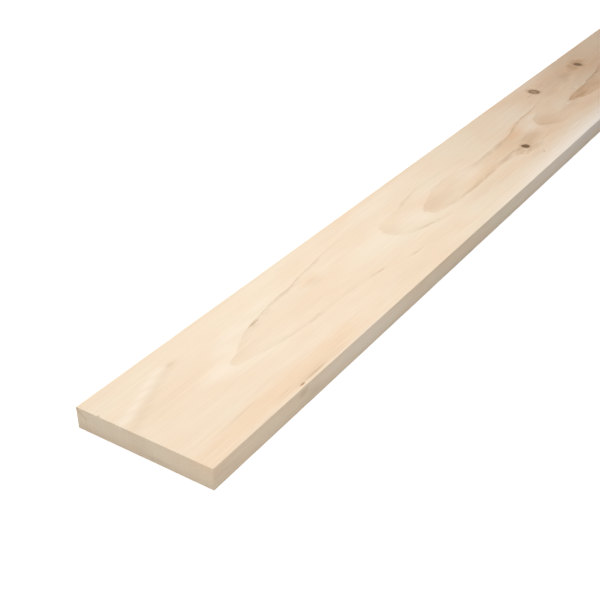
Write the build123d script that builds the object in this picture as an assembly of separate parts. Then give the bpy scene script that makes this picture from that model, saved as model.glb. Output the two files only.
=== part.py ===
"""A planed softwood plank: one length of timber, sawn off square at both ends.

The frame has X along the grain, Y across the width and Z up. The origin is the middle of the underside,
so the plank lies flat on the plane Z = 0.
"""

from build123d import *
import os

# Driving dimensions, in millimetres
PLANK_LENGTH = 1800.0
PLANK_WIDTH = 145.0
PLANK_THICKNESS = 22.0
# The planer knives ease the four long edges by this much. The sawn end edges stay sharp.
ARRIS_RADIUS = 0.5


def plank_section():
    """The section across the grain: a flat rectangle on the floor, with its four arrises eased."""
    with BuildSketch(Plane.YZ) as section:
        with Locations((0, PLANK_THICKNESS / 2)):
            RectangleRounded(PLANK_WIDTH, PLANK_THICKNESS, ARRIS_RADIUS)
    return section.sketch


def plank():
    """The section run along the grain, half of the length to each side of the origin."""
    return extrude(plank_section(), amount=PLANK_LENGTH / 2, both=True)


os.makedirs("parts", exist_ok=True)
export_step(plank(), "parts/plank.step")
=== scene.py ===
"""A planed spruce plank, dressed on its CAD frame, with a plain studio around it.

The wood is drawn as a solid: growth rings lie about the log's pith, which runs above the plank and comes
down towards its far end, so that every face cuts the same rings. Places on the plank are in millimetres:
along it from the near end, across it from the left edge as seen from that end, and up from the underside.
"""

import math
from functools import partial
from typing import NamedTuple

import bpy
import numpy as np
from bpy.props import FloatProperty, FloatVectorProperty, IntProperty, PointerProperty
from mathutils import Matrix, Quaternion, Vector


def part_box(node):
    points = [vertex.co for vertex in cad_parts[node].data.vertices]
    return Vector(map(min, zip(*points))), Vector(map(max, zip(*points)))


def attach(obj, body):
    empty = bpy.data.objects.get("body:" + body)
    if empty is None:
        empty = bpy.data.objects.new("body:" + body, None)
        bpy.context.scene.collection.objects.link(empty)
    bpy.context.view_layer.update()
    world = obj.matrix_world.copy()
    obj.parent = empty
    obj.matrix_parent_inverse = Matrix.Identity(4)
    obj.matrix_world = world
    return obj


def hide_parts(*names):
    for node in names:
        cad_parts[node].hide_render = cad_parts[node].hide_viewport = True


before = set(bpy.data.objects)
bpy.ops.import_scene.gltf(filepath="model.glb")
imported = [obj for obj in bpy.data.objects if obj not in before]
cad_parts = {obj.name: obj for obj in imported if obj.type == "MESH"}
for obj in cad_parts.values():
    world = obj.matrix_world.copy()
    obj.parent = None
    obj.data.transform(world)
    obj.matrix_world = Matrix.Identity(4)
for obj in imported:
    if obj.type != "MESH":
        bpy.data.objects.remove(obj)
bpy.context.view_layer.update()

bl_info = {
    "name": "Planed spruce plank",
    "version": (1, 0, 0),
    "blender": (4, 5, 0),
    "location": "View3D > Sidebar > Plank",
    "description": "Builds a planed spruce plank on its CAD frame, and a plain studio for it",
    "category": "Add Mesh",
}

MM = 0.001
NEAR_CORNER, FAR_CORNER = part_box("plank")
LENGTH, WIDTH, THICKNESS = ((high - low) / MM for low, high in zip(NEAR_CORNER, FAR_CORNER))


class Knot(NamedTuple):
    """A branch cut through by the planed face: where it leaves the top face, and its look."""

    along: float
    across: float
    diameter: float
    heart: float = 0.0    # how far its middle is paler than its rim
    depth: float = 1.0    # how dark it is as a whole


class Ring(NamedTuple):
    """One year's growth: how far outside the near end's top face its dark last wood lies, and its look."""

    outside: float
    late: float    # how tan the late wood inside the line is
    line: float    # how dark the line is
    pale: float    # how white the next year's first wood is, outside the line


class Mark(NamedTuple):
    """A soft-edged patch: its middle, its half lengths along, across and up, and its strength."""

    along: float
    across: float
    reach: tuple
    amount: float
    up: float = THICKNESS    # on the top face, unless a row says otherwise


class Chip(NamedTuple):
    """A splinter torn out of an edge: its middle, its half lengths and how far its surface is pushed in."""

    along: float
    across: float
    up: float
    reach: tuple
    push: tuple


# The log: how far its pith lies above the near end's top face, how far it has come down at each distance
# along the plank, and how far across the plank it lies there
PITH_ABOVE = 165.0
PITH_DESCENT = (
    (0, 0.0), (25, 0.95), (50, 2.6), (85, 5.0), (120, 6.8), (137, 7.1), (157, 7.65), (177, 8.25),
    (200, 8.65), (227, 9.2), (260, 9.35), (283, 9.85), (310, 10.3), (350, 11.25), (390, 12.5),
    (412, 13.3), (430, 14.55), (447, 15.05), (467, 15.6), (485, 16.3), (508, 16.8), (567, 17.8),
    (613, 17.3), (657, 16.85), (713, 16.85), (735, 17.15), (757, 17.8), (780, 18.6), (803, 19.2),
    (818, 19.9), (850, 20.9), (913, 22.18), (967, 22.65), (1045, 22.8), (1080, 23.4), (1200, 25.9),
    (1350, 28.4), (1500, 31.9), (1650, 34.4), (1800, 37.4),
)
PITH_ACROSS = (
    (0, 69), (120, 73), (157, 71), (177, 70), (227, 68.5), (260, 67.5), (283, 66), (350, 66), (412, 66),
    (435, 69), (460, 72.5), (486, 78.5), (497, 78), (508, 77.5), (567, 75), (657, 79), (713, 77.5),
    (735, 80), (757, 82), (803, 82), (850, 86), (1000, 85), (1300, 80), (1550, 72), (1800, 76),
)
RINGS = (
    Ring(-37.5, 0.6, 0.2, 0.2), Ring(-34.6, 0.5, 0.17, 0.2), Ring(-32.4, 0.7, 0.2, 0.2),
    Ring(-29.8, 0.5, 0.17, 0.2), Ring(-27.4, 0.8, 0.2, 0.2), Ring(-25.0, 0.6, 0.17, 0.1),
    Ring(-22.3, 1.0, 0.95, 0.2), Ring(-19.25, 0.8, 0.1, 0.2), Ring(-16.2, 0.38, 0.38, 0.15),
    Ring(-13.4, 0.26, 0.2, 0.2), Ring(-6.9, 0.18, 0.38, 0.3), Ring(0.1, 0.06, 0.05, 0.0),
    Ring(4.6, 0.12, 0.13, 0.1), Ring(7.4, 0.12, 0.13, 0.1), Ring(11.0, 0.14, 0.13, 0.1),
    Ring(15.5, 0.2, 0.17, 0.1), Ring(19.5, 0.16, 0.17, 0.1), Ring(24.0, 0.25, 0.2, 0.1),
    Ring(28.5, 0.2, 0.17, 0.1), Ring(33.0, 0.25, 0.2, 0.1), Ring(37.5, 0.2, 0.2, 0.1),
)
# The rings and the pith's descent all lie within this many millimetres of growth
RING_SPAN = 40.0
# Where the rings leave their circles, and by how many millimetres of growth
BENDS = (
    Mark(395, 110, (60, 16, 40), -1.4),
    Mark(484, 43, (20, 13, 40), -0.45),
    Mark(486, 101, (34, 14, 40), 1.0),
    Mark(512, 38, (66, 16, 40), -1.3),
    Mark(850, 47, (60, 11, 40), 0.7),
    Mark(822, 103, (30, 9, 40), -0.35),
    Mark(852, 63, (34, 9, 40), -0.4),
    Mark(985, 74, (40, 8, 40), 0.2),
    Mark(985, 99, (50, 12, 40), -0.4),
)
# How a year shows, in millimetres of growth: the late wood's fade inwards from its line, the line's full and
# whole width, and the reach of the pale wood outside it
LATE_FADE = 1.5
LINE_FULL, LINE_WHOLE = 0.1, 1.0
PALE_REACH = 2.0
# How far aside of the pith, in millimetres, a face stops cutting the rings flat, shows their lines in full,
# and has lost most of their late and pale wood
FLAT_CUT, CLEAR_CUT, STEEP_CUT = 3.0, 20.0, 32.0
# What is left of a line where the cut is flat, and of late and pale wood where it is steep
FLAT_LINE, STEEP_LATE = 0.15, 0.2
# How strongly late wood and lines show where no mark below says more, at each end of the patchy pattern
FAINT_LATE = (0.1, 0.38)
FAINT_LINE = (0.02, 0.22)
# Stretches of the top face where late wood shows more
FULL_LATE = (
    Mark(134, 70, (24, 14, 12), 0.38),
    Mark(168, 56, (44, 11, 12), 0.46),
    Mark(424, 68, (22, 26, 12), 0.85),
    Mark(440, 87, (34, 17, 12), 0.9),
    Mark(522, 76, (60, 24, 12), 0.9),
    Mark(742, 76, (90, 20, 12), 0.9),
    Mark(826, 86, (42, 32, 12), 0.85),
    Mark(965, 85, (90, 26, 12), 1.0),
)
# Stretches of the top face where a ring's line shows more
DARK_LINES = (
    Mark(185, 47, (50, 12, 20), 1.0),
    Mark(185, 90, (45, 12, 20), 0.2),
    Mark(232, 94, (22, 8, 20), 0.5),
    Mark(270, 38, (120, 22, 20), 0.55),
    Mark(285, 96, (22, 8, 20), 0.16),
    Mark(335, 100, (24, 8, 20), 0.5),
    Mark(397, 111, (15, 10, 20), 0.5),
    Mark(458, 97, (44, 14, 20), 0.9),
    Mark(490, 41, (80, 12, 20), 0.5),
    Mark(615, 94, (120, 10, 20), 0.75),
    Mark(690, 64, (70, 10, 20), 1.3),
    Mark(700, 93, (40, 8, 20), 1.0),
    Mark(757, 59, (40, 10, 20), 0.9),
    Mark(825, 51, (90, 12, 20), 0.8),
    Mark(1000, 73, (120, 12, 20), 1.0),
)

KNOTS = (
    Knot(725, 96.5, 12.5, depth=0.94),
    Knot(921, 27, 17, heart=0.72, depth=0.85),
    Knot(1074, 36, 14, heart=0.1, depth=0.92),
    Knot(723, 123, 2.2, depth=0.6),
    Knot(1268, 102, 11, heart=0.4, depth=0.8),
    Knot(1476, 44, 15, heart=0.6, depth=0.8),
    Knot(1655, 91, 9),
)
# How far a branch runs on along the plank for each millimetre outwards
BRANCH_LEAN = 0.15
# How far the rings are pulled aside for each millimetre of a knot's radius, and for how many radii along the
# grain and across it
KNOT_PULL = 0.15
KNOT_REACH = (2.6, 1.5, 1.5)
# How many radii from its middle a knot ends, its paler heart ends and the tan collar round it ends, each from
# where it starts to fade to where it is gone
KNOT_EDGE, HEART_EDGE, COLLAR_EDGE = (0.7, 1.15), (0.4, 0.8), (1.0, 1.8)
COLLAR_AMOUNT = 0.45
# The lobes of a knot's rim: their size in millimetres, their finer detail, and what share of the distance
# from the knot's line counts at least, and how much more at most
LOBE_SIZE, LOBE_DETAIL = 3.0, 3.0
LOBE_LEAST, LOBE_RISE = 0.65, 0.7

# Browner wood, by resin, bruises and weather, and painted shade on the right side face
BROWN_AND_SHADE_MARKS = (
    # A slanting band at the near end, and the spot where it stops
    *(Mark(along, across, (15, 6, 8), 0.085) for along, across in (
        (5, 61), (16, 56), (27, 51), (38, 46), (49, 41.5), (60, 37), (71, 33), (81, 29.5), (90, 27))),
    Mark(90, 27, (9, 4, 8), 0.2),
    # The bruised right edge, and thin streaks before it
    Mark(66, 122, (34, 1.4, 8), 0.14),
    Mark(112, 136, (22, 1.2, 8), 0.2),
    Mark(131, 141.5, (5, 1.8, 3), 0.85),
    Mark(150, 139, (62, 6, 6), 0.12),
    Mark(152, 140.4, (26, 2.2, 4), 0.42),
    Mark(128, 146, (11, 3, 6), 0.3, up=16),
    Mark(142, 146, (20, 3, 10), 0.16, up=8),
    # Faint patches and streaks down the face
    Mark(284, 55, (18, 8, 8), 0.08),
    Mark(352, 129, (50, 10, 8), 0.06),
    Mark(585, 107, (72, 9, 8), 0.07),
    Mark(622, 114, (46, 1.4, 8), 0.14),
    Mark(790, 53.8, (16, 2.2, 8), 0.16),
    Mark(808, 93, (20, 7, 8), 0.1),
    # Round the first knot
    Mark(676, 93, (26, 6, 8), 0.27),
    Mark(701, 102, (3.5, 5, 8), 0.35),
    Mark(705, 108, (6, 2, 8), 0.3),
    Mark(706, 97, (20, 9, 8), 0.3),
    Mark(709, 99, (4, 7, 8), 0.35),
    Mark(710, 119, (28, 7, 8), 0.08),
    Mark(717, 106, (14, 5, 8), 0.34),
    Mark(722, 119, (36, 1.3, 8), 0.12),
    Mark(734, 98, (22, 10, 8), 0.3),
    Mark(736, 105, (26, 9, 8), 0.24),
    Mark(736, 105.7, (16, 1.6, 8), 0.35),
    Mark(743, 94.3, (12, 1.6, 8), 0.4),
    Mark(753, 96, (10, 1.6, 8), 0.3),
    Mark(757, 90, (42, 14, 10), 0.28),
    Mark(760, 106, (18, 1.5, 8), 0.25),
    Mark(768, 90, (26, 2.0, 10), 0.3),
    # Round the second knot
    Mark(900, 29, (11, 2, 8), 0.3),
    Mark(923, 32.5, (4, 1.8, 4), 0.4),
    Mark(930, 50, (34, 8, 8), 0.16),
    Mark(948, 37, (8, 1.3, 4), 0.2),
    Mark(950, 25, (20, 1.6, 8), 0.28),
    # The tip of the fifth tongue of grain
    Mark(895, 92, (46, 8, 8), 0.15),
    Mark(917, 83, (7, 3, 8), 0.35),
    Mark(928, 81, (13, 4, 8), 0.3),
    Mark(940, 86.5, (13, 3, 8), 0.4),
    Mark(953, 89, (25, 5, 8), 0.4),
    Mark(966, 82, (24, 3, 8), 0.25),
    Mark(985, 81, (40, 5, 8), 0.2),
    # Before the third knot, round it and over the face about it
    Mark(995, 48, (22, 8, 8), 0.28),
    Mark(1000, 36, (110, 23, 12), 0.17),
    Mark(1012, 38, (40, 14, 8), 0.32),
    Mark(1040, 38, (24, 10, 8), 0.27),
    Mark(1056, 36, (22, 13, 8), 0.5),
    Mark(1060, 28, (16, 7, 8), 0.5),
    Mark(1070, 55, (130, 80, 12), 0.18),
    Mark(1074, 44, (18, 8, 8), 0.42),
    Mark(1083, 31, (26, 15, 10), 0.5),
    # The near end: a slanting line from its top left corner, a splinter, and duller patches lower down
    *(Mark(0, across, (4, 2.2, 1.5), 0.26, up) for across, up in (
        (1, 20), (2.6, 18.4), (4.4, 17.1), (6.3, 15.9), (8.2, 14.7), (10, 13.5))),
    Mark(0, 0.8, (3, 1.7, 1.7), 0.5, up=20.8),
    Mark(0, 24.4, (3, 1.8, 1.0), 0.3, up=21.6),
    Mark(0, 70, (6, 14, 16), 0.1, up=11),
    Mark(0, 84, (6, 24, 3.5), 0.16, up=4),
    # Painted shade on the right side face: darker at the near end, and towards the far end by the second knot
    Mark(0, 147, (46, 5, 18), 0.13, up=10),
    Mark(880, 147, (150, 5, 16), 0.2, up=10),
)
# Patches of pinker wood
WARM_MARKS = (
    Mark(110, 131, (190, 18, 14), 0.45),
    Mark(225, 66, (120, 22, 12), 0.2),
    Mark(280, 50, (28, 9, 8), 0.35),
    Mark(535, 68, (60, 18, 10), 0.22),
    Mark(590, 132, (110, 14, 10), 0.22),
    Mark(610, 92, (100, 15, 10), 0.4),
    Mark(640, 112, (110, 14, 10), 0.3),
    Mark(700, 78, (70, 14, 10), 0.38),
    Mark(752, 68, (55, 12, 10), 0.75),
    Mark(776, 57, (26, 4, 8), 0.9),
    Mark(830, 55, (95, 8, 10), 0.25),
    Mark(854, 39, (40, 8, 8), 0.25),
    Mark(860, 95, (270, 20, 12), 0.32),
    Mark(950, 87, (50, 14, 10), 0.8),
    Mark(1060, 40, (60, 30, 12), 0.4),
    Mark(1080, 32, (30, 16, 10), 0.9),
)
# Pinker wood and painted shade for the light falling off towards the far end: where they start, end and how
# far they go
WARMTH_AND_SHADE_FROM, WARMTH_AND_SHADE_BY, WARMTH_AND_SHADE_FAR = 600.0, 1050.0, 0.6
# The span of the cloudy pattern that turns wood pinker, and how far it goes
CLOUD_EDGES, CLOUD_AMOUNT = (0.38, 0.68), 0.33
# Patches of whiter wood, painted highlights, and painted light on the right side face
PALE_AND_LIGHT_MARKS = (
    # Beside the slanting band at the near end
    *(Mark(along, across, (16, 6, 8), 0.36) for along, across in (
        (10, 47), (26, 42), (44, 36), (60, 30), (76, 25))),
    # Outside the rings and between them
    Mark(98, 70, (26, 12, 10), 0.25),
    Mark(132, 53, (24, 8, 10), 0.22),
    Mark(160, 41, (38, 8, 10), 0.24),
    Mark(215, 34, (36, 7, 10), 0.16),
    Mark(470, 70, (30, 20, 10), 0.2),
    Mark(500, 18, (130, 18, 10), 0.25),
    Mark(608, 70, (34, 16, 10), 0.28),
    Mark(785, 72, (26, 12, 10), 0.24),
    Mark(815, 34, (80, 30, 10), 0.2),
    Mark(824, 61, (22, 5, 8), 0.3),
    Mark(960, 4, (150, 13, 10), 0.24),
    # Small white specks; those about the fifth tongue of grain are painted highlights where torn grain
    # catches the light
    Mark(903, 86, (6, 2, 4), 0.8),
    Mark(920, 120.4, (6, 1.2, 4), 0.4),
    Mark(974, 71.2, (7, 1.6, 4), 0.9),
    Mark(991, 81, (5, 1.4, 4), 0.6),
    Mark(998, 75, (7, 1.6, 4), 0.9),
    # The right edge and the face along it: whiter wood on the top face, painted light down the side face
    # The side face is lighter at 110 to 340 mm and greyish from 500 mm on, where the floor throws light back
    Mark(228, 147, (115, 5, 17), 0.55, up=15),
    Mark(812, 139, (44, 8, 8), 0.2),
    Mark(850, 150, (360, 36, 30), 1.0, up=20),
    Mark(1250, 153, (600, 24, 30), 0.5, up=20),
    # The splintered top of the near end
    Mark(0, 27.2, (3, 1.6, 0.9), 0.6, up=20.4),
)
# A mark's edge, as shares of its reach from where it starts to fade to where it is gone, and how ragged it is
MARK_EDGE, MARK_RAGGED = (0.75, 1.7), 1.2

# Sizes of the wood's patterns along, across and up, in millimetres, and how much finer detail each has
PATTERNS = {
    "fibre": ((45, 1, 1), 3.0),       # fibres are 0.05 mm thick, drawn coarser so that they show
    "streak": ((180, 3, 3), 2.0),     # bundles of fibres that hold more or less resin
    "cloud": ((110, 38, 30), 2.0),    # patches of pinker wood
    "waver": ((70, 16, 16), 3.0),     # how the rings stray from circles
    "fray": ((16, 4, 4), 2.0),        # how ragged their lines are
    "patch": ((90, 22, 22), 3.0),     # stretches where a ring shows or fades
}
NOISE_MIDDLE = 0.5
# The span of the patchy pattern over which an unmarked ring goes from its faintest to its strongest
PATCH_EDGES = (0.4, 0.65)
# How a line comes and goes along its length: the span of the fray and the line's share at each end of it
BREAK_EDGES, BREAK_SHARES = (0.4, 0.6), (0.4, 1.5)
# How many millimetres of growth the waver and the fray move the rings by, from one end of each to the other
RING_WAVER, RING_FRAY = 0.8, 0.7
# How much darker and lighter fibres and streaks make the wood, and in which span of their patterns
FIBRE_SHADE, STREAK_SHADE = 0.025, 0.021
SHADE_EDGES = (0.25, 0.75)

CHIPS = (
    Chip(0, 24.4, 22, (1.4, 1.5, 1.0), (0.9, 0, -0.7)),
    Chip(0, 28, 22, (2.0, 2.0, 1.0), (0.5, 0, -0.4)),
    Chip(0, 144, 20, (1.6, 1.2, 1.4), (0.5, 0.4, -0.2)),
    Chip(131, 144.5, 21, (3.0, 1.6, 1.8), (0, 0.5, -0.4)),
    Chip(135, 145, 18, (3.0, 1.2, 2.0), (0, 0.3, 0)),
)


def linear(srgb_hex):
    """The linear colour of an sRGB hex value."""
    parts = [int(srgb_hex[i:i + 2], 16) / 255 for i in (0, 2, 4)]
    return tuple(c / 12.92 if c <= 0.04045 else ((c + 0.055) / 1.055) ** 2.4 for c in parts)


class PlankShape(bpy.types.PropertyGroup):
    """Sizes of the plank's edges and the wear on them."""

    arris_radius: FloatProperty(
        name="Arris radius", description="Rounding that the planer knives leave on the four long edges",
        default=0.5 * MM, min=0.2 * MM, unit="LENGTH")
    dent_depth: FloatProperty(
        name="Dent depth", description="Deepest of the small dents along the four long edges",
        default=0.35 * MM, min=0.0, unit="LENGTH")
    knot_depth: FloatProperty(
        name="Knot depth", description="How far a knot, having shrunk more, lies below the planed face",
        default=0.3 * MM, min=0.0, unit="LENGTH")
    dents: IntProperty(
        name="Dents", description="Dents along each long edge", default=90, min=0)


class SpruceLook(bpy.types.PropertyGroup):
    """Colours of the spruce."""

    early_wood: FloatVectorProperty(
        name="Early wood", description="Pale spring growth, which is most of the face",
        subtype="COLOR", default=linear("E8D7BF"))
    # Towards the far end this colour also paints the shade where the light falls off
    warm_wood_and_shade: FloatVectorProperty(
        name="Warm wood", description="Early wood where it is pinker, in patches and towards the far end",
        subtype="COLOR", default=linear("E6C3A0"))
    late_wood: FloatVectorProperty(
        name="Late wood", description="Tan autumn growth inside each ring's line",
        subtype="COLOR", default=linear("C79F78"))
    ring_line: FloatVectorProperty(
        name="Ring line", description="The hard dark line where a year's growth stops",
        subtype="COLOR", default=linear("A37B48"))
    # Along the right side face this colour also paints light
    pale_wood_and_light: FloatVectorProperty(
        name="Pale wood", description="Whitish wood just outside a ring and along the right edge",
        subtype="COLOR", default=linear("F5E9DB"))
    knot_rim: FloatVectorProperty(
        name="Knot rim", description="Bark-edged rim and dark heart of the knots",
        subtype="COLOR", default=linear("5A3D10"))
    knot_heart: FloatVectorProperty(
        name="Knot heart", description="Brown middle of the larger knots",
        subtype="COLOR", default=linear("B39067"))
    # On the right side face this colour also paints shade
    stain_and_shade: FloatVectorProperty(
        name="Stain", description="Resin and bruises in the wood",
        subtype="COLOR", default=linear("A67743"))


class StudioLook(bpy.types.PropertyGroup):
    """Light, floor and camera."""

    camera_place: FloatVectorProperty(
        name="Camera place", description="Where the camera stands",
        subtype="TRANSLATION", unit="LENGTH", default=(-1370.26 * MM, -466.89 * MM, 546.37 * MM))
    camera_aim: FloatVectorProperty(
        name="Camera aim", description="Point of the top face in the middle of the picture",
        subtype="TRANSLATION", unit="LENGTH", default=(-653.95 * MM, 9.66 * MM, 22.0 * MM))
    camera_roll: FloatProperty(
        name="Camera roll", description="Turn about the line of sight",
        subtype="ANGLE", default=math.radians(-0.32))
    lens: FloatProperty(
        name="Lens", description="Focal length on a 36 mm sensor, in millimetres", default=61.672)
    sky_strength: FloatProperty(
        name="Sky strength", description="Even light from all sides", default=0.32, min=0.0)
    lamp_size: FloatProperty(
        name="Lamp size", description="Diameter of the soft lamps", default=0.6, unit="LENGTH")
    key_power: FloatProperty(
        name="Key power", description="Watts of the soft lamp above the plank", default=9.4, min=0.0)
    key_place: FloatVectorProperty(
        name="Key place", description="Where the soft lamp above the plank hangs",
        subtype="TRANSLATION", unit="LENGTH", default=(-0.5, 0.15, 1.1))
    fill_power: FloatProperty(
        name="Fill power", description="Watts of the soft lamp in front of the near end",
        default=4.85, min=0.0)
    fill_place: FloatVectorProperty(
        name="Fill place", description="Where the soft lamp in front of the near end stands",
        subtype="TRANSLATION", unit="LENGTH", default=(-1.7, -0.6, 0.5))
    back_power: FloatProperty(
        name="Back power", description="Watts of the soft lamp beyond the far end", default=1.2, min=0.0)
    back_place: FloatVectorProperty(
        name="Back place", description="Where the soft lamp beyond the far end stands",
        subtype="TRANSLATION", unit="LENGTH", default=(1.25, 0.0, 0.45))
    back_aim: FloatProperty(
        name="Back aim", description="How far along the frame the soft lamp beyond the far end points",
        default=0.75, unit="LENGTH")
    floor_colour: FloatVectorProperty(
        name="Floor", description="Pale paper floor", subtype="COLOR", default=linear("D0CFCD"))
    floor_reach: FloatProperty(
        name="Floor reach", description="Half the width of the paper floor", default=12.0, unit="LENGTH")


class PlankSettings(bpy.types.PropertyGroup):
    """Everything a user may change."""

    shape: PointerProperty(type=PlankShape)
    look: PointerProperty(type=SpruceLook)
    studio: PointerProperty(type=StudioLook)


def on_plank(along, across, up):
    """A place on the plank as a point of the frame, in millimetres."""
    return Vector((NEAR_CORNER.x / MM + along, FAR_CORNER.y / MM - across, NEAR_CORNER.z / MM + up))


def branch_axis(knot):
    """The way a branch grows: straight out from the pith, leaning towards the far end."""
    pith_across = np.interp(knot.along, *zip(*PITH_ACROSS))
    outwards = Vector((0, pith_across - knot.across, -PITH_ABOVE)).normalized()
    return (outwards + Vector((BRANCH_LEAN, 0, 0))).normalized()


def add_node(tree, kind, inputs=(), output=None, curve=(), bend="VECTOR", **settings):
    """Adds a node with its settings, fills or links its inputs by order or name, and returns one output."""
    node = tree.nodes.new(kind)
    for name, value in settings.items():
        setattr(node, name, value)
    for i, place in enumerate(curve):
        points = node.mapping.curves[0].points
        point = points[i] if i < len(points) else points.new(*place)
        point.location = place
        point.handle_type = bend
    if curve:
        node.mapping.update()
    sockets = [socket for socket in node.inputs if socket.enabled]
    for key, value in inputs.items() if isinstance(inputs, dict) else enumerate(inputs):
        socket = sockets[key] if isinstance(key, int) else next(s for s in sockets if s.name == key)
        if isinstance(value, bpy.types.NodeSocket):
            tree.links.new(value, socket)
        else:
            socket.default_value = value
    if output:
        return node.outputs[output]
    return next((socket for socket in node.outputs if socket.enabled), None)


def new_group(name, inputs, outputs):
    """An empty shader group with these sockets, each a name and its kind."""
    tree = bpy.data.node_groups.new(name, "ShaderNodeTree")
    for way, sockets in (("INPUT", inputs), ("OUTPUT", outputs)):
        for title, kind in sockets.items():
            tree.interface.new_socket(title, in_out=way, socket_type="NodeSocket" + kind)
    return tree


def empty_nodes(owner):
    """Gives a material or a world an empty node tree, and returns what adds nodes to it."""
    owner.use_nodes = True
    owner.node_tree.nodes.clear()
    return partial(add_node, owner.node_tree)


def knot_group():
    """One branch in the wood: how many of its radii a point lies from its line, and its pull on the rings."""
    tree = new_group(
        "spruce knot", {"Point": "Vector", "Place": "Vector", "Axis": "Vector", "Radius": "Float"},
        {"Radii": "Float", "Pull": "Float"})
    add = partial(add_node, tree)
    given = add("NodeGroupInput").node.outputs
    offset = add("ShaderNodeVectorMath", [given["Point"], given["Place"]], operation="SUBTRACT")
    outwards = add("ShaderNodeVectorMath", [offset, given["Axis"]], operation="DOT_PRODUCT")
    on_axis = add("ShaderNodeVectorMath", {"Vector": given["Axis"], "Scale": outwards}, operation="SCALE")
    sideways = add("ShaderNodeVectorMath", [offset, on_axis], operation="SUBTRACT")
    # The rim is ragged by about a sixth of the radius
    lobes = add("ShaderNodeTexNoise", {
        "Vector": given["Point"], "Scale": 1 / LOBE_SIZE, "Detail": LOBE_DETAIL})
    ragged = add("ShaderNodeMath", [lobes, LOBE_RISE, LOBE_LEAST], operation="MULTIPLY_ADD")
    away = add("ShaderNodeVectorMath", [sideways], operation="LENGTH")
    radii = add("ShaderNodeMath", [away, given["Radius"]], operation="DIVIDE")
    ragged_radii = add("ShaderNodeMath", [radii, ragged], operation="MULTIPLY")
    # The pull falls off as a bell
    eased = add("ShaderNodeVectorMath", [sideways, KNOT_REACH], operation="DIVIDE")
    bend = add("ShaderNodeVectorMath", [eased], operation="LENGTH")
    bend_radii = add("ShaderNodeMath", [bend, given["Radius"]], operation="DIVIDE")
    squared = add("ShaderNodeMath", [bend_radii, bend_radii], operation="MULTIPLY")
    minus = add("ShaderNodeMath", [squared, -1.0], operation="MULTIPLY")
    hump = add("ShaderNodeMath", [minus], operation="EXPONENT")
    pull = add("ShaderNodeMath", [hump, given["Radius"]], operation="MULTIPLY")
    add("NodeGroupOutput", {"Radii": ragged_radii, "Pull": pull})
    return tree


def soft_marks(add, point, marks, ragged, join):
    """The sum, or the strongest, of the marks at a point, each fading out at its reach with a ragged edge."""
    total = 0.0
    for mark in marks:
        place = on_plank(mark.along, mark.across, mark.up)
        offset = add("ShaderNodeVectorMath", [point, place], operation="SUBTRACT")
        shares = add("ShaderNodeVectorMath", [offset, mark.reach], operation="DIVIDE")
        away = add("ShaderNodeVectorMath", [shares], operation="LENGTH")
        away = add("ShaderNodeMath", [ragged, MARK_RAGGED, away], operation="MULTIPLY_ADD")
        soft = add("ShaderNodeMapRange", [away, *MARK_EDGE, mark.amount, 0.0],
                   interpolation_type="SMOOTHSTEP")
        total = add("ShaderNodeMath", [total, soft], operation=join)
    return total


def log_growth(add, point, along, noise):
    """A point's distance from the pith, less that of the near end's top face, and how far aside it lies."""
    x, side = add("ShaderNodeSeparateXYZ", [point]).node.outputs[:2]
    share = add("ShaderNodeMath", [along, LENGTH], operation="DIVIDE")
    descent = add("ShaderNodeFloatCurve", {"Value": share}, bend="AUTO_CLAMPED",
                  curve=[(place / LENGTH, down / RING_SPAN) for place, down in PITH_DESCENT])
    across = add("ShaderNodeFloatCurve", {"Value": share}, bend="AUTO_CLAMPED",
                 curve=[(place / LENGTH, over / WIDTH) for place, over in PITH_ACROSS])
    pith_side = add("ShaderNodeMath", [across, -WIDTH, FAR_CORNER.y / MM], operation="MULTIPLY_ADD")
    start = THICKNESS + PITH_ABOVE
    pith_height = add("ShaderNodeMath", [descent, -RING_SPAN, start], operation="MULTIPLY_ADD")
    pith = add("ShaderNodeCombineXYZ", [x, pith_side, pith_height])
    radius = add("ShaderNodeVectorMath", [point, pith], operation="DISTANCE")
    grown = add("ShaderNodeMath", [radius, -PITH_ABOVE], operation="ADD")
    bent = soft_marks(add, point, BENDS, NOISE_MIDDLE, "ADD")
    grown = add("ShaderNodeMath", [grown, bent], operation="ADD")
    aside = add("ShaderNodeMath", [side, pith_side], operation="SUBTRACT")
    aside = add("ShaderNodeMath", [aside], operation="ABSOLUTE")
    # A line frays least where it is cut flat, because there a little growth moves it far
    fray = add("ShaderNodeMapRange", [aside, FLAT_CUT, CLEAR_CUT, 0.0, RING_FRAY])
    for stray, reach in ((noise["fray"], fray), (noise["waver"], RING_WAVER)):
        centred = add("ShaderNodeMath", [stray, NOISE_MIDDLE], operation="SUBTRACT")
        grown = add("ShaderNodeMath", [centred, reach, grown], operation="MULTIPLY_ADD")
    return grown, aside


def branches(add, point, grown):
    """The growth with the rings pulled round the knots, and how far a point is in knot, heart and collar."""
    group = knot_group()
    in_knot, heart, collar = 0.0, 0.0, 0.0
    for knot in KNOTS:
        place = on_plank(knot.along, knot.across, THICKNESS)
        radii, pull = add("ShaderNodeGroup", {
            "Point": point, "Place": place, "Axis": branch_axis(knot), "Radius": knot.diameter / 2},
            node_tree=group).node.outputs
        grown = add("ShaderNodeMath", [pull, -KNOT_PULL, grown], operation="MULTIPLY_ADD")
        parts = ((KNOT_EDGE, knot.depth), (HEART_EDGE, knot.heart), (COLLAR_EDGE, COLLAR_AMOUNT))
        within, middle, around = (
            add("ShaderNodeMapRange", [radii, *edge, amount, 0.0], interpolation_type="SMOOTHSTEP")
            for edge, amount in parts)
        in_knot = add("ShaderNodeMath", [in_knot, within], operation="MAXIMUM")
        heart = add("ShaderNodeMath", [heart, middle], operation="MAXIMUM")
        collar = add("ShaderNodeMath", [collar, around], operation="MAXIMUM")
    return grown, in_knot, heart, collar


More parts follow.
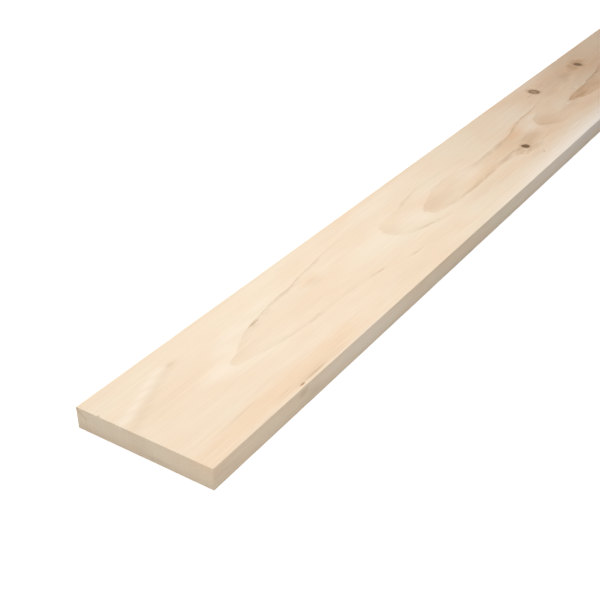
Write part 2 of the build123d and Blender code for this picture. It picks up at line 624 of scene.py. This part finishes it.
def growth_rings(add, point, grown, aside, noise):
    """How far a point is in a ring's late wood, in its dark line and in the pale wood outside it."""
    # The curves run from 0 to 1 over twice the span, with the near end's top face in the middle
    spread = add("ShaderNodeMath", [grown, 0.5 / RING_SPAN, 0.5], operation="MULTIPLY_ADD")
    places = [(ring.outside + RING_SPAN) / (2 * RING_SPAN) for ring in RINGS]
    widths = [after.outside - ring.outside for ring, after in zip(RINGS, RINGS[1:])]
    widths.insert(0, widths[0])
    widest = max(widths)
    counts = [i / len(RINGS) for i in range(len(RINGS))]
    count, width, late_share, line_share, pale_share = (
        add("ShaderNodeFloatCurve", {"Value": spread}, curve=list(zip(places, shares)))
        for shares in (counts, [each / widest for each in widths], *list(zip(*RINGS))[1:]))
    years = add("ShaderNodeMath", [count, float(len(RINGS))], operation="MULTIPLY")
    season = add("ShaderNodeMath", [years], operation="FRACT")
    left = add("ShaderNodeMath", [1.0, season], operation="SUBTRACT")
    width = add("ShaderNodeMath", [width, widest], operation="MULTIPLY")
    inside = add("ShaderNodeMath", [left, width], operation="MULTIPLY")
    outside = add("ShaderNodeMath", [season, width], operation="MULTIPLY")
    shows = []
    for faint, marks in ((FAINT_LATE, FULL_LATE), (FAINT_LINE, DARK_LINES)):
        patchy = add("ShaderNodeMapRange", [noise["patch"], *PATCH_EDGES, *faint],
                     interpolation_type="SMOOTHSTEP")
        marked = soft_marks(add, point, marks, noise["patch"], "MAXIMUM")
        shows.append(add("ShaderNodeMath", [patchy, marked], operation="MAXIMUM"))
    late_shows, line_shows = shows
    clear = add("ShaderNodeMapRange", [aside, FLAT_CUT, CLEAR_CUT, FLAT_LINE, 1.0])
    broken = add("ShaderNodeMapRange", [noise["fray"], *BREAK_EDGES, *BREAK_SHARES])
    flat = add("ShaderNodeMapRange", [aside, FLAT_CUT, STEEP_CUT, 1.0, STEEP_LATE])
    fade = add("ShaderNodeMath", [inside, -1 / LATE_FADE], operation="MULTIPLY")
    late = add("ShaderNodeMath", [fade], operation="EXPONENT")
    line = add("ShaderNodeMapRange", [inside, LINE_FULL, LINE_WHOLE, 1.0, 0.0],
               interpolation_type="SMOOTHSTEP")
    pale = add("ShaderNodeMapRange", [outside, 0.0, PALE_REACH, 1.0, 0.0],
               interpolation_type="SMOOTHSTEP")
    for share in (late_share, late_shows, flat):
        late = add("ShaderNodeMath", [late, share], operation="MULTIPLY")
    for share in (line_share, line_shows, clear, broken):
        line = add("ShaderNodeMath", [line, share], operation="MULTIPLY")
    for share in (pale_share, flat):
        pale = add("ShaderNodeMath", [pale, share], operation="MULTIPLY")
    return late, line, pale


def figure_group():
    """The plank's spruce as a solid: growth rings, knots, stains, fibres, painted shade and light at any
    point.
    """
    names = ("Late", "Line", "Halo", "Knot", "Heart", "Collar", "Brown", "Warm", "Pale", "Fibre", "Streak")
    tree = new_group("spruce figure", {}, dict.fromkeys(names, "Float"))
    add = partial(add_node, tree)
    frame_point = add("ShaderNodeTexCoord", output="Object")
    point = add("ShaderNodeVectorMath", {"Vector": frame_point, "Scale": 1 / MM}, operation="SCALE")
    x = add("ShaderNodeSeparateXYZ", [point])
    along = add("ShaderNodeMath", [x, -NEAR_CORNER.x / MM], operation="ADD")
    noise = {}
    for name, (size, detail) in PATTERNS.items():
        stretched = add("ShaderNodeVectorMath", [point, size], operation="DIVIDE")
        noise[name] = add("ShaderNodeTexNoise", {"Vector": stretched, "Scale": 1.0, "Detail": detail})

    grown, aside = log_growth(add, point, along, noise)
    grown, in_knot, heart, collar = branches(add, point, grown)
    late, line, halo = growth_rings(add, point, grown, aside, noise)
    # Of these, the brown also paints shade on the side face, and the pale also paints light on it and
    # highlights
    brown_and_shade, warmth_and_shade, pale = (
        soft_marks(add, point, marks, noise["fibre"], "MAXIMUM")
        for marks in (BROWN_AND_SHADE_MARKS, WARM_MARKS, PALE_AND_LIGHT_MARKS))
    # Pinker and darker towards the far end: partly pinker wood, partly painted shade where the light falls
    # off
    far = add("ShaderNodeMapRange", [along, WARMTH_AND_SHADE_FROM, WARMTH_AND_SHADE_BY, 0.0, WARMTH_AND_SHADE_FAR])
    cloudy = add("ShaderNodeMapRange", [noise["cloud"], *CLOUD_EDGES, 0.0, CLOUD_AMOUNT])
    for share in (far, cloudy):
        warmth_and_shade = add("ShaderNodeMath", [warmth_and_shade, share], operation="ADD", use_clamp=True)
    values = (late, line, halo, in_knot, heart, collar, brown_and_shade, warmth_and_shade, pale, noise["fibre"], noise["streak"])
    add("NodeGroupOutput", dict(zip(names, values)))
    return tree


def spruce_colour(add, figure, look):
    """The colour that the figure gives the wood, before its surface is finished."""
    colour = (*look.early_wood, 1.0)
    # The warm, brown and pale shares also carry painted shade, light and highlights
    for name, tint in (("Warm", look.warm_wood_and_shade), ("Halo", look.pale_wood_and_light), ("Pale", look.pale_wood_and_light),
                       ("Late", look.late_wood), ("Line", look.ring_line), ("Brown", look.stain_and_shade),
                       ("Collar", look.late_wood)):
        colour = add("ShaderNodeMix", [figure[name], colour, (*tint, 1.0)], data_type="RGBA")
    for name, depth in (("Fibre", FIBRE_SHADE), ("Streak", STREAK_SHADE)):
        shade = add("ShaderNodeMapRange", [figure[name], *SHADE_EDGES, 1 - depth, 1 + depth])
        colour = add("ShaderNodeVectorMath", {"Vector": colour, "Scale": shade}, operation="SCALE")
    rim, heart = (*look.knot_rim, 1.0), (*look.knot_heart, 1.0)
    knot_colour = add("ShaderNodeMix", [figure["Heart"], rim, heart], data_type="RGBA")
    return add("ShaderNodeMix", [figure["Knot"], colour, knot_colour], data_type="RGBA")


WOOD_IOR = 1.5
# Planed wood: how rough its early and its late wood are, how far hard late wood stands proud of the face, and
# what share of that the fibres do
EARLY_ROUGHNESS, LATE_ROUGHNESS = 0.62, 0.5
PLANED_RELIEF, FIBRE_RELIEF = 0.05 * MM, 0.4
# A circular saw leaves a slanting mark for each tooth: how far apart they are, their length, slant and depth,
# the span of their pattern that shades the wood and the shade at each end of it
TOOTH_PITCH, TOOTH_LENGTH, TOOTH_SLANT, TOOTH_DEPTH = 1.5 * MM, 30 * MM, math.radians(14), 0.1 * MM
TOOTH_EDGES, TOOTH_SHADES = (0.3, 0.7), (0.95, 1.0)


def planed_spruce(figure_tree, look):
    """Spruce planed smooth and left bare: a dull even sheen, a little glossier on the hard late wood."""
    material = bpy.data.materials.new("planed spruce")
    add = empty_nodes(material)
    figure = add("ShaderNodeGroup", node_tree=figure_tree).node.outputs
    colour = spruce_colour(add, figure, look)
    roughness = add("ShaderNodeMapRange", [figure["Late"], 0.0, 1.0, EARLY_ROUGHNESS, LATE_ROUGHNESS])
    grain = add("ShaderNodeMath", [figure["Fibre"], FIBRE_RELIEF, figure["Line"]], operation="MULTIPLY_ADD")
    bump = add("ShaderNodeBump", {"Strength": 0.6, "Distance": PLANED_RELIEF, "Height": grain})
    shader = add("ShaderNodeBsdfPrincipled", {
        "Base Color": colour, "Roughness": roughness, "IOR": WOOD_IOR, "Specular IOR Level": 0.3,
        "Normal": bump})
    add("ShaderNodeOutputMaterial", {"Surface": shader})
    return material


def sawn_spruce(figure_tree, look):
    """Spruce end grain off the saw: open cell ends swallow light, so it is duller and a little darker."""
    material = bpy.data.materials.new("sawn spruce end grain")
    add = empty_nodes(material)
    figure = add("ShaderNodeGroup", node_tree=figure_tree).node.outputs
    colour = spruce_colour(add, figure, look)
    point = add("ShaderNodeTexCoord", output="Object")
    tilted = add("ShaderNodeMapping", {
        "Vector": point, "Rotation": (TOOTH_SLANT, 0, 0),
        "Scale": (1 / MM, 1 / TOOTH_PITCH, 1 / TOOTH_LENGTH)})
    marks = add("ShaderNodeTexNoise", {"Vector": tilted, "Scale": 1.0, "Detail": 2.0})
    shade = add("ShaderNodeMapRange", [marks, *TOOTH_EDGES, *TOOTH_SHADES])
    dull = add("ShaderNodeVectorMath", {"Vector": colour, "Scale": shade}, operation="SCALE")
    bump = add("ShaderNodeBump", {"Strength": 0.5, "Distance": TOOTH_DEPTH, "Height": marks})
    shader = add("ShaderNodeBsdfPrincipled", {
        "Base Color": dull, "Roughness": 0.8, "IOR": WOOD_IOR, "Normal": bump})
    add("ShaderNodeOutputMaterial", {"Surface": shader})
    return material


# How finely the plank's mesh is cut, in millimetres: its closest and widest steps along the plank, across a
# broad face and up an edge, how fast they widen away from a detail, and the cells round an arris
ALONG_STEPS, ACROSS_STEPS, UP_STEPS = (1.0, 8.0), (0.7, 4.0), (0.7, 3.0)
STEP_GROWTH = 0.2
ARRIS_CELLS = 4
# Wear: how near to a broad face, in millimetres, a point is on it, how sharply a sunk knot's rim drops, the
# least and greatest half length of a dent, and the power of chance that leaves most dents shallow
ON_FACE = 0.1
KNOT_DROP = 4
DENT_REACH = (2, 9)
DENT_POWER = 3
SEED = 7


def spaced(length, details, steps):
    """Places from 0 to a length, close together at the details and further apart between them."""
    close, far = steps
    places = [0.0]
    while places[-1] < length:
        away = min(abs(detail - places[-1]) for detail in details)
        places.append(places[-1] + min(far, close + STEP_GROWTH * away))
    return np.array(places) * length / places[-1]


def section(radius):
    """The section's points from the underside's left, their normals, and the cells across it and up it."""
    left, right = FAR_CORNER.y / MM, NEAR_CORNER.y / MM
    low, high = NEAR_CORNER.z / MM, FAR_CORNER.z / MM
    corners = ((right + radius, low + radius), (right + radius, high - radius),
               (left - radius, high - radius), (left - radius, low + radius))
    wide, tall = WIDTH - 2 * radius, THICKNESS - 2 * radius
    face = spaced(wide, [0.0, wide] + [chip.across for chip in CHIPS], ACROSS_STEPS) / wide
    edge = spaced(tall, [0.0, tall], UP_STEPS) / tall
    places, normals = [], []
    before = corners[-1]
    for i, (corner, shares) in enumerate(zip(corners, (face, edge, 1 - face[::-1], edge))):
        facing = math.radians(-90 - 90 * i)
        flat = np.array((math.cos(facing), math.sin(facing)))
        for share in shares[:-1]:
            places.append(np.array(before) * (1 - share) + np.array(corner) * share + radius * flat)
            normals.append(flat)
        for share in np.arange(ARRIS_CELLS) / ARRIS_CELLS:
            turned = facing - math.radians(90) * share
            outwards = np.array((math.cos(turned), math.sin(turned)))
            places.append(np.array(corner) + radius * outwards)
            normals.append(outwards)
        before = corner
    return np.array(places), np.array(normals), len(face) - 1, len(edge) - 1


def stations():
    """Distances along the plank where it has a section, one of them at its middle."""
    details = [0.0, LENGTH] + [knot.along for knot in KNOTS] + [chip.along for chip in CHIPS]
    places = spaced(LENGTH, details, ALONG_STEPS)
    places[np.abs(places - LENGTH / 2).argmin()] = LENGTH / 2
    return places


def end_grid(loop, face_cells, edge_cells):
    """Point numbers of one end as a grid, with the section's loop round it, and the points that fill it."""
    wide, tall = face_cells + ARRIS_CELLS, edge_cells + ARRIS_CELLS
    ring = np.roll(np.arange(len(loop)), ARRIS_CELLS // 2)
    ring = np.append(ring, ring[0])
    grid = np.full((wide + 1, tall + 1), -1)
    grid[:, 0] = ring[:wide + 1]
    grid[-1, :] = ring[wide:wide + tall + 1]
    grid[::-1, -1] = ring[wide + tall:2 * wide + tall + 1]
    grid[0, ::-1] = ring[2 * wide + tall:]
    low, high, left, right = loop[grid[:, 0]], loop[grid[:, -1]], loop[grid[0]], loop[grid[-1]]
    inner = []
    for i in range(1, wide):
        for j in range(1, tall):
            a, b = i / wide, j / tall
            sides = (1 - b) * low[i] + b * high[i] + (1 - a) * left[j] + a * right[j]
            corners = (1 - b) * ((1 - a) * low[0] + a * low[-1]) + b * ((1 - a) * high[0] + a * high[-1])
            grid[i, j] = len(loop) + len(inner)
            inner.append(sides - corners)
    return grid, np.array(inner)


def end_cells(grid, end):
    """The four corners of each cell of an end's grid, in the order that faces outwards."""
    cells = np.stack([grid[:-1, :-1], grid[1:, :-1], grid[1:, 1:], grid[:-1, 1:]], 2)
    cells = cells.reshape(-1, 4, *grid.shape[2:])
    return cells if end == 0 else cells[:, ::-1]


def worn(points, normals, shape):
    """The points after wear: knots that have sunk, chips at the edges and dents along the arrises."""
    rng = np.random.default_rng(SEED)
    moved = points.copy()
    along = points[:, 0] - NEAR_CORNER.x / MM
    for knot in KNOTS:
        axis = branch_axis(knot)
        for up in (0.0, THICKNESS):
            place = on_plank(knot.along, knot.across, THICKNESS) + axis * (up - THICKNESS) / axis.z
            away = np.linalg.norm((points - place)[:, :2], axis=1) / (knot.diameter / 2)
            on_face = np.abs(points[:, 2] - up) < ON_FACE
            sunk = shape.knot_depth / MM * np.exp(-away ** KNOT_DROP) * on_face
            moved -= sunk[:, None] * normals
    for chip in CHIPS:
        offset = (points - on_plank(chip.along, chip.across, chip.up)) / np.array(chip.reach)
        moved += np.exp(-(offset ** 2).sum(axis=1))[:, None] * np.array(chip.push)
    for across in (0, WIDTH):
        for up in (0, THICKNESS):
            line = np.linalg.norm(points[:, 1:] - np.array(on_plank(0, across, up))[1:], axis=1)
            near = np.exp(-(line / (shape.arris_radius / MM)) ** 2)
            for _ in range(shape.dents):
                middle, reach = rng.uniform(0, LENGTH), rng.uniform(*DENT_REACH)
                depth = shape.dent_depth / MM * rng.uniform(0, 1) ** DENT_POWER
                moved -= (depth * near * np.exp(-((along - middle) / reach) ** 2))[:, None] * normals
    return moved


def plank_mesh(shape):
    """The plank's closed mesh, with a flat map of its surface for its baked colours."""
    loop, outwards, face_cells, edge_cells = section(shape.arris_radius / MM)
    places = stations()
    count, rows = len(loop), len(places)
    near_end = NEAR_CORNER.x / MM
    body = np.zeros((rows, count, 3))
    body[:, :, 0] = near_end + places[:, None]
    body[:, :, 1:] = loop[None]
    normals = np.zeros_like(body)
    normals[:, :, 1:] = outwards[None]
    grid, inner = end_grid(loop, face_cells, edge_cells)
    fill = np.zeros((2, len(inner), 3))
    fill[:, :, 1:] = inner[None]
    fill[:, :, 0] = np.array((near_end, near_end + LENGTH))[:, None]
    fill_normals = np.zeros_like(fill)
    fill_normals[:, :, 0] = np.array((-1, 1))[:, None]
    points = np.concatenate([body.reshape(-1, 3), fill.reshape(-1, 3)])
    points = worn(points, np.concatenate([normals.reshape(-1, 3), fill_normals.reshape(-1, 3)]), shape)

    i, j = np.meshgrid(np.arange(rows - 1), np.arange(count), indexing="ij")
    after = (j + 1) % count
    skin = np.stack([i * count + j, (i + 1) * count + j, (i + 1) * count + after, i * count + after], -1)
    faces = [skin.reshape(-1, 4)]
    for end, row in ((0, 0), (1, rows - 1)):
        on_end = np.where(grid < count, row * count + grid, rows * count + end * len(inner) + grid - count)
        faces.append(end_cells(on_end, end))
    skin_faces = len(faces[0])
    faces = np.concatenate(faces)

    mesh = bpy.data.meshes.new("planed_plank")
    mesh.from_pydata((points * MM).tolist(), [], faces.tolist())
    mesh.polygons.foreach_set("use_smooth", np.ones(len(faces), bool))
    mesh.polygons.foreach_set("material_index", (np.arange(len(faces)) >= skin_faces).astype(np.int32))
    # The rims of both ends stay sharp
    ends = np.zeros(len(mesh.edges) * 2, np.int32)
    mesh.edges.foreach_get("vertices", ends)
    ends = ends.reshape(-1, 2)
    far_rim = (ends >= (rows - 1) * count) & (ends < rows * count)
    sharp = mesh.attributes.new("sharp_edge", "BOOLEAN", "EDGE")
    sharp.data.foreach_set("value", (ends < count).all(axis=1) | far_rim.all(axis=1))
    uv = flat_map(loop, places, grid, inner).astype(np.float32)
    mesh.uv_layers.new(name="OFBake").data.foreach_set("uv", uv.ravel())
    mesh.validate()
    return mesh


# The flat map: a margin round each island, in millimetres
MAP_MARGIN = 5.0


def flat_map(loop, places, grid, inner):
    """Corners of the map: the skin unrolled in two half lengths, one above the other, and the ends on top."""
    around = np.append(0.0, np.cumsum(np.linalg.norm(np.roll(loop, -1, axis=0) - loop, axis=1)))
    half = LENGTH / 2
    wide = half + 2 * MAP_MARGIN
    tall = 2 * around[-1] + THICKNESS + 4 * MAP_MARGIN
    rows, count = len(places), len(loop)
    i, j = np.meshgrid(np.arange(rows - 1), np.arange(count), indexing="ij")
    second = (places[:-1] >= half)[:, None, None]
    across = np.stack([places[i], places[i + 1], places[i + 1], places[i]], -1) - half * second
    up = np.stack([around[j], around[j], around[j + 1], around[j + 1]], -1)
    up = up + MAP_MARGIN + (around[-1] + MAP_MARGIN) * second
    skin = np.stack([(across + MAP_MARGIN) / wide, up / tall], -1).reshape(-1, 2)
    spots = np.concatenate([loop, inner])
    islands = [skin]
    for end in (0, 1):
        on_end = spots[grid] - spots.min(axis=0)
        flat = np.stack([
            (on_end[..., 0] + MAP_MARGIN + end * (WIDTH + MAP_MARGIN)) / wide,
            (on_end[..., 1] + 2 * around[-1] + 3 * MAP_MARGIN) / tall], -1)
        islands.append(end_cells(flat, end).reshape(-1, 2))
    return np.concatenate(islands)


class PLANK_OT_board(bpy.types.Operator):
    """Build the planed plank with its worn edges, and finish it in spruce"""

    bl_idname = "plank.board"
    bl_label = "Planed plank"
    bl_options = {"REGISTER", "UNDO"}

    def execute(self, context):
        settings = context.scene.spruce_plank
        plank = bpy.data.objects.new("planed_plank", plank_mesh(settings.shape))
        context.scene.collection.objects.link(plank)
        figure = figure_group()
        plank.data.materials.append(planed_spruce(figure, settings.look))
        plank.data.materials.append(sawn_spruce(figure, settings.look))
        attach(plank, "root")
        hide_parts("plank")
        return {"FINISHED"}


# How much the paper glows to the eye, and what share of the light it takes, so that it is white but for
# the plank's shadow
PAPER_GLOW, PAPER_LIT = 0.84, 0.45


def seen_directly(add):
    """1 for rays from the camera, in a mirror or through glass, and 0 for the light that falls on things."""
    path = add("ShaderNodeLightPath").node.outputs
    shown = add("ShaderNodeMath", [path["Is Camera Ray"], path["Is Glossy Ray"]], operation="MAXIMUM")
    return add("ShaderNodeMath", [shown, path["Is Transmission Ray"]], operation="MAXIMUM")


def white_paper(studio):
    """Seamless white paper: matt, and bright enough to the eye to read as white around the plank's shadow."""
    material = bpy.data.materials.new("white paper")
    add = empty_nodes(material)
    shown = seen_directly(add)
    seen_colour = (PAPER_LIT, PAPER_LIT, PAPER_LIT, 1)
    lit = add("ShaderNodeMix", [shown, (*studio.floor_colour, 1), seen_colour], data_type="RGBA")
    glow = add("ShaderNodeMath", [shown, PAPER_GLOW], operation="MULTIPLY")
    shader = add("ShaderNodeBsdfPrincipled", {
        "Base Color": lit, "Roughness": 0.9, "Specular IOR Level": 0.0, "Emission Color": (1, 1, 1, 1),
        "Emission Strength": glow})
    add("ShaderNodeOutputMaterial", {"Surface": shader})
    return material


def lay_floor(scene, studio):
    """A square of paper under the plank."""
    reach = studio.floor_reach
    corners = [(-reach, -reach, 0), (reach, -reach, 0), (reach, reach, 0), (-reach, reach, 0)]
    mesh = bpy.data.meshes.new("paper_floor")
    mesh.from_pydata(corners, [], [(0, 1, 2, 3)])
    mesh.materials.append(white_paper(studio))
    floor = bpy.data.objects.new("paper_floor", mesh)
    scene.collection.objects.link(floor)


def light_sky(scene, studio):
    """White all round to the eye, and a weaker even light on things."""
    world = bpy.data.worlds.new("white studio")
    add = empty_nodes(world)
    strength = add("ShaderNodeMix", [seen_directly(add), studio.sky_strength, 1.0], data_type="FLOAT")
    sky = add("ShaderNodeBackground", [(1, 1, 1, 1), strength])
    add("ShaderNodeOutputWorld", {"Surface": sky})
    scene.world = world


def hang_lamps(scene, studio):
    """Three soft lamps, each facing a point of the floor on the plank's middle line."""
    near = NEAR_CORNER.x
    for name, power, place, aim in (("soft_key", studio.key_power, studio.key_place, near),
                                    ("soft_fill", studio.fill_power, studio.fill_place, near),
                                    ("soft_back", studio.back_power, studio.back_place, studio.back_aim)):
        lamp = bpy.data.lights.new(name, "AREA")
        lamp.shape = "DISK"
        lamp.size = studio.lamp_size
        lamp.energy = power
        soft = bpy.data.objects.new(name, lamp)
        soft.location = place
        towards = Vector((aim, 0, 0)) - Vector(place)
        soft.rotation_euler = towards.to_track_quat("-Z", "Y").to_euler()
        scene.collection.objects.link(soft)


def set_camera(scene, studio):
    """The camera, looking along the plank from its near end."""
    lens = bpy.data.cameras.new("camera")
    lens.lens = studio.lens
    camera = bpy.data.objects.new("camera", lens)
    place, aim = Vector(studio.camera_place), Vector(studio.camera_aim)
    level = (aim - place).to_track_quat("-Z", "Y")
    camera.location = place
    camera.rotation_euler = (level @ Quaternion((0, 0, 1), studio.camera_roll)).to_euler()
    scene.collection.objects.link(camera)
    scene.camera = camera


class PLANK_OT_studio(bpy.types.Operator):
    """Lay the plank on a white paper floor under three soft lamps, and set the camera"""

    bl_idname = "plank.studio"
    bl_label = "Studio"
    bl_options = {"REGISTER", "UNDO"}

    def execute(self, context):
        scene = context.scene
        studio = scene.spruce_plank.studio
        scene.view_settings.view_transform = "Standard"
        lay_floor(scene, studio)
        light_sky(scene, studio)
        hang_lamps(scene, studio)
        set_camera(scene, studio)
        return {"FINISHED"}


class PLANK_PT_sidebar(bpy.types.Panel):
    """Lists what builds the plank and its studio, with what a user may change"""

    bl_idname = "PLANK_PT_sidebar"
    bl_label = "Planed spruce plank"
    bl_space_type = "VIEW_3D"
    bl_region_type = "UI"
    bl_category = "Plank"

    def draw(self, context):
        settings = context.scene.spruce_plank
        for operator in (PLANK_OT_board, PLANK_OT_studio):
            self.layout.operator(operator.bl_idname)
        for group in (settings.shape, settings.look, settings.studio):
            box = self.layout.box()
            for name in group.__annotations__:
                box.prop(group, name)


CLASSES = (
    PlankShape, SpruceLook, StudioLook, PlankSettings, PLANK_OT_board, PLANK_OT_studio, PLANK_PT_sidebar)


def register():
    """Registers the classes, and gives every scene the plank's settings."""
    for each in CLASSES:
        bpy.utils.register_class(each)
    bpy.types.Scene.spruce_plank = PointerProperty(type=PlankSettings)


def unregister():
    """Takes away what register added."""
    del bpy.types.Scene.spruce_plank
    for each in reversed(CLASSES):
        bpy.utils.unregister_class(each)


def main():
    """Builds the plank and its studio."""
    register()
    bpy.ops.plank.board()
    bpy.ops.plank.studio()


if __name__ == "__main__":
    main()
